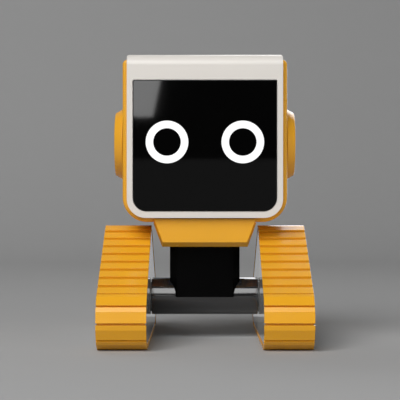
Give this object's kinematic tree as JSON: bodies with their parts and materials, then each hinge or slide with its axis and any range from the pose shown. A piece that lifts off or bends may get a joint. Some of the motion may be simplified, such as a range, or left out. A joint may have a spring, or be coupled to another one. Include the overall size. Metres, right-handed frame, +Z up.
{
  "type": "educational coding robot",
  "caption": "Desk robot with a tilting screen face and ear-like speakers, on a short neck between two triangular rubber tracks.",
  "frame": {"origin": "on the ground, midway between the two tracks and midway along them", "axes": "+Z up, the face looks along -Y, +X to the right of someone facing the robot"},
  "size_m": [0.1212, 0.176, 0.1704],
  "materials": {
    "orange_plastic": "smooth orange plastic",
    "orange_rubber": "orange moulded rubber",
    "white_plastic": "smooth warm white plastic",
    "grey_panel": "smooth light grey plastic",
    "black_plastic": "glossy black plastic",
    "black_glass": "black glossy lens",
    "eye_light": "lit white diffuser",
    "steel": "satin steel",
    "dark_plastic": "fine textured",
    "nylon": "natural nylon",
    "circuit_board": "green board",
    "battery_wrap": "blue shrink wrap"
  },
  "bodies": {
    "chassis": {"axle_housing": "black_plastic", "neck_front_cover": "black_plastic", "neck_rear_cover": "black_plastic", "tilt_servo": "dark_plastic", "tilt_bush": "nylon", "left_track_belt": "orange_rubber", "left_inner_side_plate": "grey_panel", "left_outer_side_plate": "grey_panel", "left_drive_motor": "steel", "left_front_axle": "steel", "left_front_hub_cap": "orange_plastic", "left_rear_axle": "steel", "left_rear_hub_cap": "orange_plastic", "left_top_axle": "steel", "left_top_hub_cap": "orange_plastic", "right_track_belt": "orange_rubber", "right_inner_side_plate": "grey_panel", "right_outer_side_plate": "grey_panel", "right_drive_motor": "steel", "right_front_axle": "steel", "right_front_hub_cap": "orange_plastic", "right_rear_axle": "steel", "right_rear_hub_cap": "orange_plastic", "right_top_axle": "steel", "right_top_hub_cap": "orange_plastic"},
    "head": {"head_shell": "orange_plastic", "front_frame": "white_plastic", "display_glass": "black_glass", "display_module": "steel", "rear_cover": "white_plastic", "chin_cover": "orange_plastic", "tilt_bracket": "steel", "servo_horn": "nylon", "pivot_screw": "steel", "main_board": "circuit_board", "battery_pack": "battery_wrap", "usb_port": "steel", "left_eye_ring": "eye_light", "left_ear_cover": "orange_plastic", "left_speaker": "dark_plastic", "left_lower_rear_screw": "steel", "left_upper_rear_screw": "steel", "right_eye_ring": "eye_light", "right_ear_cover": "orange_plastic", "right_speaker": "dark_plastic", "right_lower_rear_screw": "steel", "right_upper_rear_screw": "steel"},
    "power_button": {"power_button": "orange_plastic"},
    "left_sprocket_body": {"left_drive_sprocket": "nylon"},
    "left_front_idler_body": {"left_front_idler": "dark_plastic"},
    "left_rear_idler_body": {"left_rear_idler": "dark_plastic"},
    "left_drive_gear_body": {"left_drive_gear": "nylon"},
    "right_sprocket_body": {"right_drive_sprocket": "nylon"},
    "right_front_idler_body": {"right_front_idler": "dark_plastic"},
    "right_rear_idler_body": {"right_rear_idler": "dark_plastic"},
    "right_drive_gear_body": {"right_drive_gear": "nylon"}
  },
  "joints": [
    {"name": "head_tilt", "type": "hinge", "parent": "chassis", "child": "head", "pos_m": [0, 0, 0.066], "axis": [1, 0, 0], "range_deg": [-20, 20]},
    {"name": "power_button_press", "type": "slide", "parent": "head", "child": "power_button", "axis": [0, -1, 0], "range_m": [0, 0.001], "stiffness_N_per_m": 500, "springref_m": -0.001},
    {"name": "left_sprocket_spin", "type": "hinge", "parent": "chassis", "child": "left_sprocket_body", "pos_m": [-0.04655, 0, 0.0521], "axis": [1, 0, 0], "continuous": true},
    {"name": "left_front_idler_spin", "type": "hinge", "parent": "chassis", "child": "left_front_idler_body", "pos_m": [-0.04655, -0.0715, 0.0165], "axis": [1, 0, 0], "continuous": true},
    {"name": "left_rear_idler_spin", "type": "hinge", "parent": "chassis", "child": "left_rear_idler_body", "pos_m": [-0.04655, 0.0715, 0.0165], "axis": [1, 0, 0], "continuous": true},
    {"name": "left_drive_gear_spin", "type": "hinge", "parent": "chassis", "child": "left_drive_gear_body", "pos_m": [-0.04655, 0, 0.02585], "axis": [1, 0, 0], "continuous": true},
    {"name": "right_sprocket_spin", "type": "hinge", "parent": "chassis", "child": "right_sprocket_body", "pos_m": [0.04655, 0, 0.0521], "axis": [1, 0, 0], "continuous": true},
    {"name": "right_front_idler_spin", "type": "hinge", "parent": "chassis", "child": "right_front_idler_body", "pos_m": [0.04655, -0.0715, 0.0165], "axis": [1, 0, 0], "continuous": true},
    {"name": "right_rear_idler_spin", "type": "hinge", "parent": "chassis", "child": "right_rear_idler_body", "pos_m": [0.04655, 0.0715, 0.0165], "axis": [1, 0, 0], "continuous": true},
    {"name": "right_drive_gear_spin", "type": "hinge", "parent": "chassis", "child": "right_drive_gear_body", "pos_m": [0.04655, 0, 0.02585], "axis": [1, 0, 0], "continuous": true}
  ],
  "couplings": [
    {"joint": "left_front_idler_spin", "follows": "left_sprocket_spin", "ratio": 1},
    {"joint": "left_rear_idler_spin", "follows": "left_sprocket_spin", "ratio": 1},
    {"joint": "left_drive_gear_spin", "follows": "left_sprocket_spin", "ratio": -0.66667},
    {"joint": "right_front_idler_spin", "follows": "right_sprocket_spin", "ratio": 1},
    {"joint": "right_rear_idler_spin", "follows": "right_sprocket_spin", "ratio": 1},
    {"joint": "right_drive_gear_spin", "follows": "right_sprocket_spin", "ratio": -0.66667}
  ]
}
